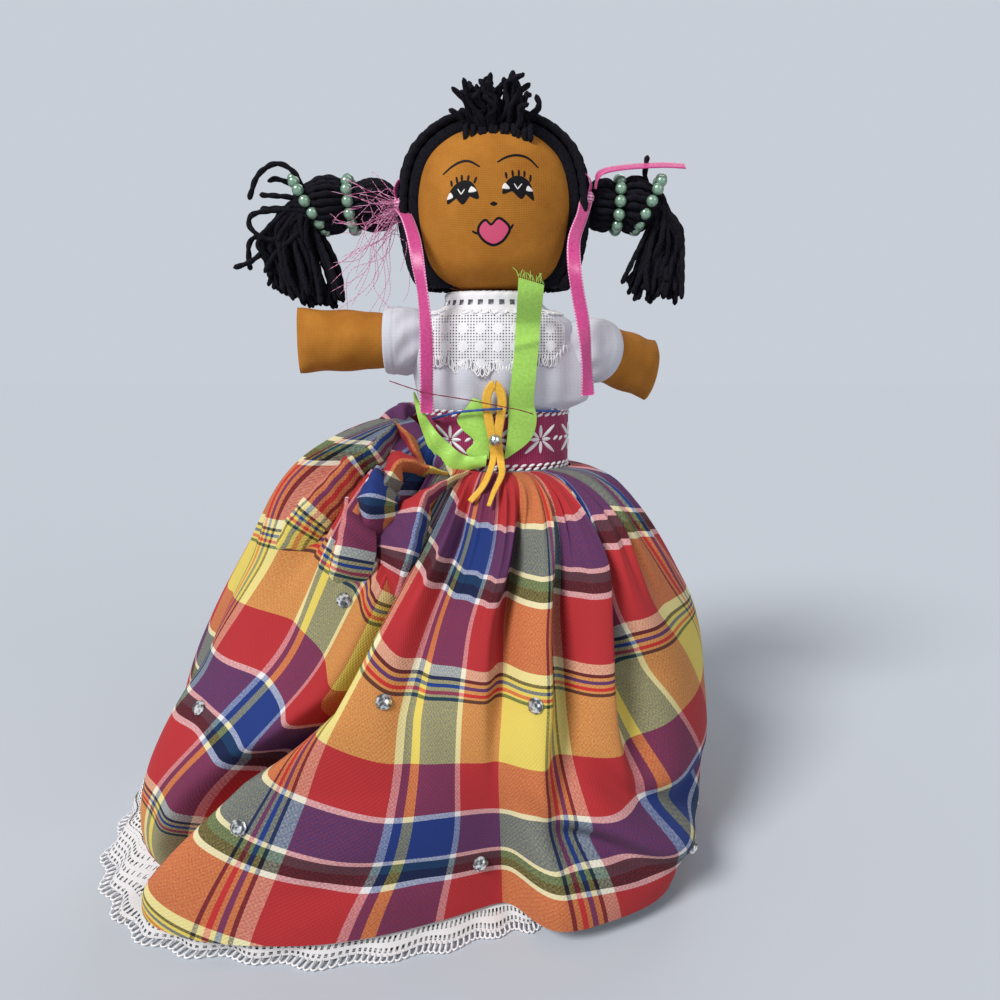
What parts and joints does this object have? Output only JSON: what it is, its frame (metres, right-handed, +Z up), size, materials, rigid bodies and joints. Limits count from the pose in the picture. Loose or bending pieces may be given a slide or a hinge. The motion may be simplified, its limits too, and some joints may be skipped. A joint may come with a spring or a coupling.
{
  "type": "topsy-turvy doll",
  "caption": "Stuffed cloth doll of two half figures joined at the waist, one upright and one hidden head down under a gathered plaid skirt that lifts over a net underskirt.",
  "frame": {"origin": "on the floor under the middle of the doll's outline", "axes": "+Z up, the upper half faces -Y, +X is the viewer's right in the picture"},
  "size_m": [0.2632, 0.2368, 0.3301],
  "materials": {
    "brown_cotton": "woven cotton",
    "black_yarn": "knitting yarn",
    "white_cotton": "woven cotton",
    "white_lace": "crochet lace and net",
    "woven_band": "jacquard weave",
    "plaid_cotton": "madras plaid weave",
    "pink_satin": "satin ribbon",
    "green_satin": "satin ribbon",
    "yellow_satin": "satin ribbon",
    "pearl": "pearl gloss",
    "rhinestone": "faceted, mirror backed"
  },
  "bodies": {
    "body": {"torso_upper": "brown_cotton", "blouse_upper": "white_cotton", "neck_band_upper": "white_lace", "lace_collar_upper": "white_lace", "sleeve_upper_left": "white_cotton", "sleeve_upper_right": "white_cotton", "torso_lower": "brown_cotton", "blouse_lower": "white_cotton", "neck_band_lower": "white_lace", "lace_collar_lower": "white_lace", "sleeve_lower_left": "white_cotton", "sleeve_lower_right": "white_cotton", "ribbon_tail_left": "pink_satin", "ribbon_tail_right": "pink_satin", "waistband": "woven_band", "plaid_skirt": "plaid_cotton", "lace_underskirt": "white_lace", "green_ribbon_strip": "green_satin", "green_ribbon_swag": "green_satin", "yellow_ribbon": "yellow_satin", "waist_rhinestone": "rhinestone", "rhinestone_1": "rhinestone", "rhinestone_2": "rhinestone", "rhinestone_3": "rhinestone", "rhinestone_4": "rhinestone", "rhinestone_5": "rhinestone", "rhinestone_6": "rhinestone", "rhinestone_7": "rhinestone"},
    "head_upper": {"head_upper": "brown_cotton", "hair_cap_upper": "black_yarn", "hair_tuft": "black_yarn"},
    "pigtail_left": {"pigtail_left": "black_yarn", "bead_string_left_1": "pearl", "bead_string_left_2": "pearl", "tassel_left": "black_yarn", "ribbon_tie_left": "pink_satin"},
    "pigtail_right": {"pigtail_right": "black_yarn", "bead_string_right_1": "pearl", "bead_string_right_2": "pearl", "tassel_right": "black_yarn", "ribbon_tie_right": "pink_satin"},
    "arm_upper_left": {"arm_upper_left": "brown_cotton"},
    "arm_upper_right": {"arm_upper_right": "brown_cotton"},
    "head_lower": {"head_lower": "brown_cotton", "hair_cap_lower": "black_yarn"},
    "arm_lower_left": {"arm_lower_left": "brown_cotton"},
    "arm_lower_right": {"arm_lower_right": "brown_cotton"},
    "hem": {"hem_lace": "white_lace"}
  },
  "joints": [
    {"name": "head_upper_turn", "type": "hinge", "parent": "body", "child": "head_upper", "pos_m": [0.02971, 0.00859, 0.2403], "axis": [0, 0, 1], "range_deg": [-30, 30], "deforming": ["ribbon_tail_left", "ribbon_tail_right"]},
    {"name": "pigtail_left_raise", "type": "hinge", "parent": "head_upper", "child": "pigtail_left", "pos_m": [-0.01881, 0.01459, 0.2783], "axis": [0, 1, 0], "range_deg": [0, 50]},
    {"name": "pigtail_right_raise", "type": "hinge", "parent": "head_upper", "child": "pigtail_right", "pos_m": [0.07824, 0.01459, 0.2783], "axis": [0, -1, 0], "range_deg": [0, 50]},
    {"name": "arm_upper_left_swing", "type": "hinge", "parent": "body", "child": "arm_upper_left", "pos_m": [-0.01828, 0.00859, 0.219], "axis": [0, 0, 1], "range_deg": [-40, 40], "deforming": ["sleeve_upper_left"]},
    {"name": "arm_upper_right_swing", "type": "hinge", "parent": "body", "child": "arm_upper_right", "pos_m": [0.07771, 0.00859, 0.219], "axis": [0, 0, 1], "range_deg": [-75, 0], "deforming": ["sleeve_upper_right"]},
    {"name": "head_lower_turn", "type": "hinge", "parent": "body", "child": "head_lower", "pos_m": [0.02971, 0.00859, 0.1117], "axis": [0, 0, 1], "range_deg": [-30, 30]},
    {"name": "arm_lower_left_swing", "type": "hinge", "parent": "body", "child": "arm_lower_left", "pos_m": [-0.01828, 0.00859, 0.133], "axis": [1, 0, 0], "range_deg": [-30, 30], "deforming": ["sleeve_lower_left"]},
    {"name": "arm_lower_right_swing", "type": "hinge", "parent": "body", "child": "arm_lower_right", "pos_m": [0.07771, 0.00859, 0.133], "axis": [1, 0, 0], "range_deg": [-30, 30], "deforming": ["sleeve_lower_right"]},
    {"name": "skirt_lift", "type": "slide", "parent": "body", "child": "hem", "axis": [0, 0, 1], "range_m": [0, 0.125], "deforming": ["plaid_skirt", "lace_underskirt", "rhinestone_1", "rhinestone_2", "rhinestone_3", "rhinestone_4", "rhinestone_5", "rhinestone_6", "rhinestone_7"]}
  ]
}
